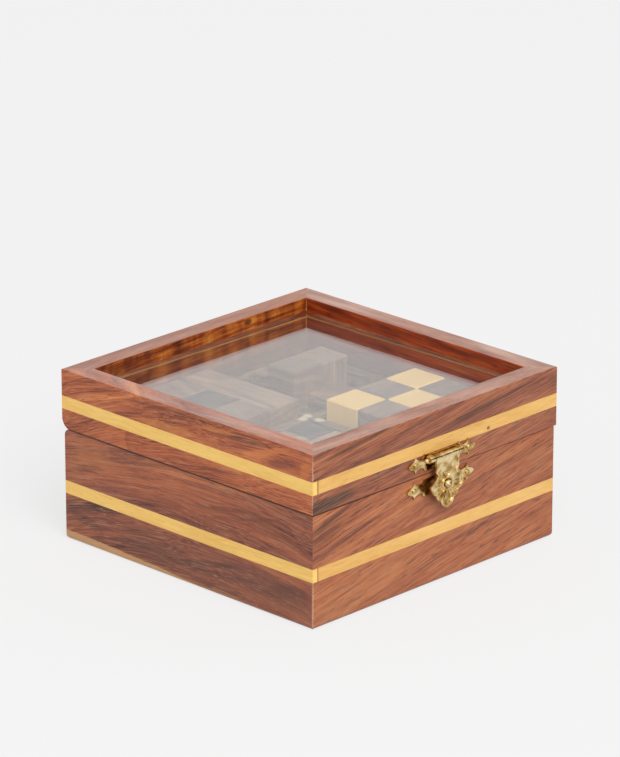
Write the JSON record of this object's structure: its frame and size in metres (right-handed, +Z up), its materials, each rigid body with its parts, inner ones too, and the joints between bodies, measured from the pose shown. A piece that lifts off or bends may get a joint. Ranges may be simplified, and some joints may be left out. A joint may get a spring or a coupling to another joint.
{
  "type": "games compendium box",
  "caption": "Square hardwood box with a hinged glazed lid, pale inlaid stripes and a brass hasp, holding wooden cube and burr puzzles in a cross of dividers.",
  "frame": {"origin": "centre of the flat underside", "axes": "+Z up through the lid, -Y out of the clasp side, +Y out of the hinge side"},
  "size_m": [0.15, 0.1563, 0.078],
  "materials": {
    "box_wood": "planed and oiled rosewood boards, satin",
    "inlay_wood": "pale golden wood strip, sanded flush and lacquered",
    "bead_wood": "fine pale hardwood bead, varnished",
    "glass": "clear float glass",
    "floor_panel": "thin hardwood-faced panel, satin",
    "divider_wood": "planed rosewood slip, satin",
    "pale_puzzle_wood": "pale close-grained wood, sanded",
    "dark_puzzle_wood": "dark rosewood, sanded",
    "elastic": "covered elastic cord",
    "hinge_brass": "pressed brass, plain",
    "clasp_brass": "pressed brass, polished",
    "burr_wood": "dark rosewood, sanded",
    "flat_cube_wood": "dark rosewood, sanded",
    "box_cube_wood": "dark rosewood, sanded"
  },
  "bodies": {
    "base": {"base_back_board": "box_wood", "base_back_stripe": "inlay_wood", "base_front_board": "box_wood", "base_front_stripe": "inlay_wood", "base_hinge_screws": "hinge_brass", "base_left_board": "box_wood", "base_left_stripe": "inlay_wood", "base_right_board": "box_wood", "base_right_stripe": "inlay_wood", "catch_knob": "clasp_brass", "catch_nails": "clasp_brass", "catch_plate": "clasp_brass", "corner_three_piece": "box_cube_wood", "cross_burr_lower": "burr_wood", "cross_burr_upper": "burr_wood", "cross_divider": "divider_wood", "dark_snake_cubes": "dark_puzzle_wood", "flat_five_piece": "flat_cube_wood", "flat_four_piece": "flat_cube_wood", "flat_seven_piece": "flat_cube_wood", "flat_six_piece": "flat_cube_wood", "flat_three_piece": "flat_cube_wood", "flat_two_piece": "flat_cube_wood", "floor_panel": "floor_panel", "hinge_pins": "hinge_brass", "hook_four_piece": "box_cube_wood", "left_hinge_base_leaf": "hinge_brass", "left_twist_four_piece": "box_cube_wood", "level_burr_front": "burr_wood", "level_burr_key": "burr_wood", "long_divider": "divider_wood", "pale_snake_cubes": "pale_puzzle_wood", "right_hinge_base_leaf": "hinge_brass", "right_twist_four_piece": "box_cube_wood", "snake_elastic": "elastic", "tee_four_piece": "box_cube_wood", "tripod_four_piece": "box_cube_wood", "upright_burr_left": "burr_wood", "upright_burr_right": "burr_wood", "zigzag_four_piece": "box_cube_wood"},
    "lid": {"back_glazing_bead": "bead_wood", "front_glazing_bead": "bead_wood", "glass_pane": "glass", "hasp_nails": "clasp_brass", "hasp_pin": "clasp_brass", "hasp_plate": "clasp_brass", "left_glazing_bead": "bead_wood", "left_hinge_lid_leaf": "hinge_brass", "lid_back_board": "box_wood", "lid_back_stripe": "inlay_wood", "lid_front_board": "box_wood", "lid_front_stripe": "inlay_wood", "lid_hinge_screws": "hinge_brass", "lid_left_board": "box_wood", "lid_left_stripe": "inlay_wood", "lid_right_board": "box_wood", "lid_right_stripe": "inlay_wood", "right_glazing_bead": "bead_wood", "right_hinge_lid_leaf": "hinge_brass"},
    "hasp_flap": {"hasp_flap": "clasp_brass"}
  },
  "joints": [
    {"name": "lid_hinge", "type": "hinge", "parent": "base", "child": "lid", "pos_m": [0, 0.0735, 0.051], "axis": [-1, 0, 0], "range_deg": [0, 105]},
    {"name": "flap_pivot", "type": "hinge", "parent": "lid", "child": "hasp_flap", "pos_m": [0.002, -0.07765, 0.0583], "axis": [-1, 0, 0], "range_deg": [0, 160]}
  ]
}
